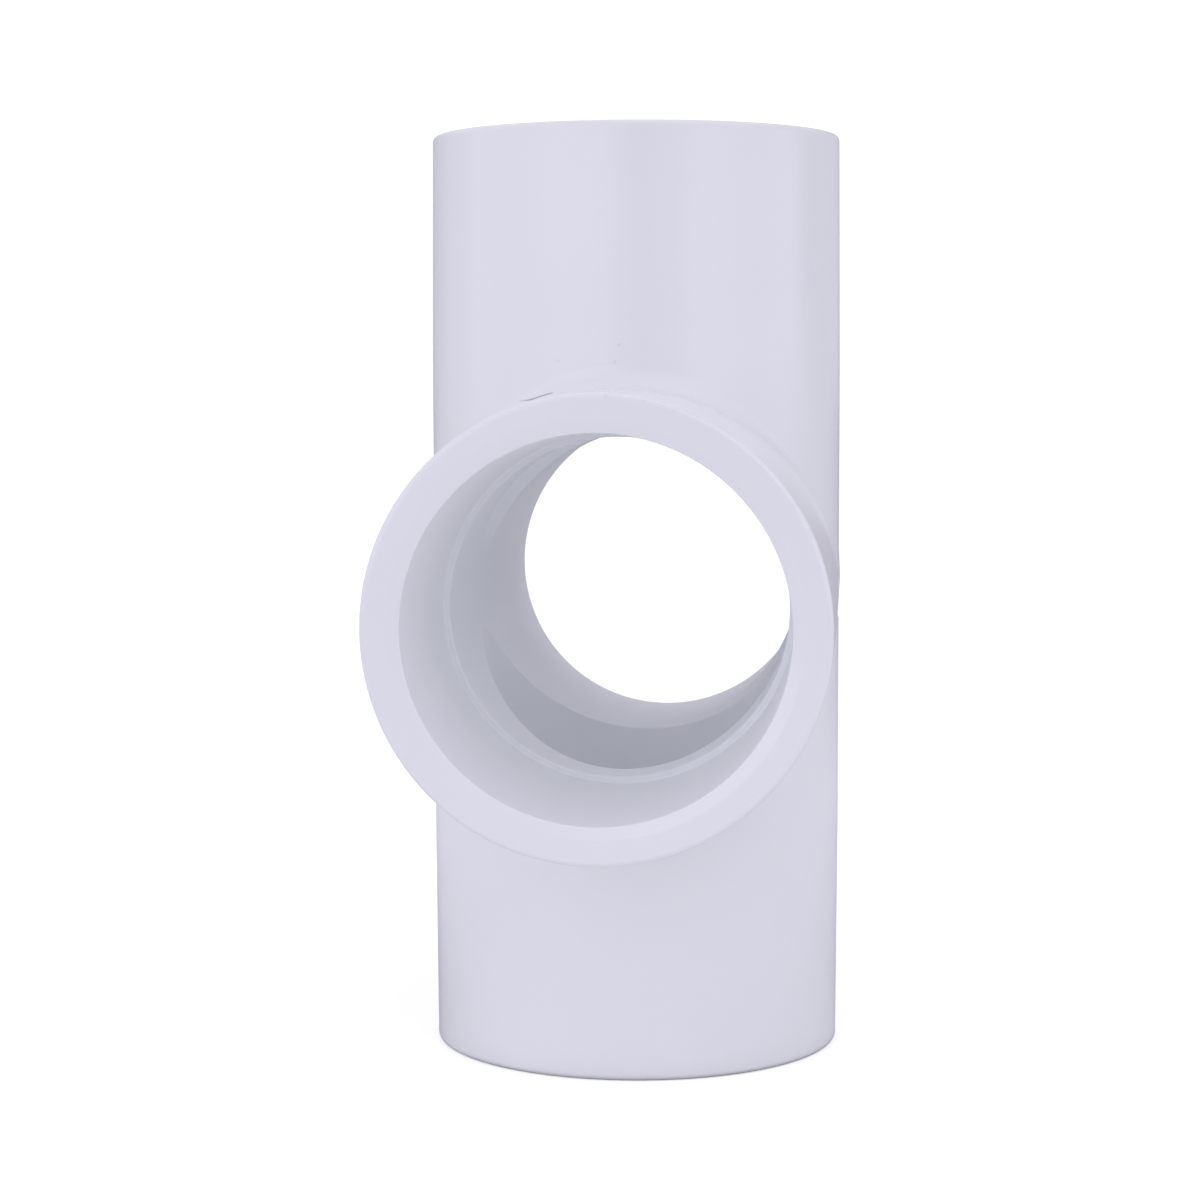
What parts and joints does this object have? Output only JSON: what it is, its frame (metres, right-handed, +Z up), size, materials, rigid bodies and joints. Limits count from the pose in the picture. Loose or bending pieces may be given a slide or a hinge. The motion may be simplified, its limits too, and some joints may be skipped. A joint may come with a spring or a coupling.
{
  "type": "pipe cross",
  "caption": "Moulded rigid plastic cross fitting: a straight run and an equal branch cross at right angles, with a tapered socket for glued pipe in each end.",
  "frame": {"origin": "the point where the axis of the run crosses the axis of the branch", "axes": "+Z up along the run, Y along the branch with its front mouth at -Y, X to the side that has no port"},
  "size_m": [0.0408, 0.0908, 0.0908],
  "materials": {
    "white_plastic": "smooth injection-moulded rigid PVC, semi-gloss, white with a faint cool tint"
  },
  "bodies": {
    "root": {"cross_body": "white_plastic"}
  },
  "joints": []
}
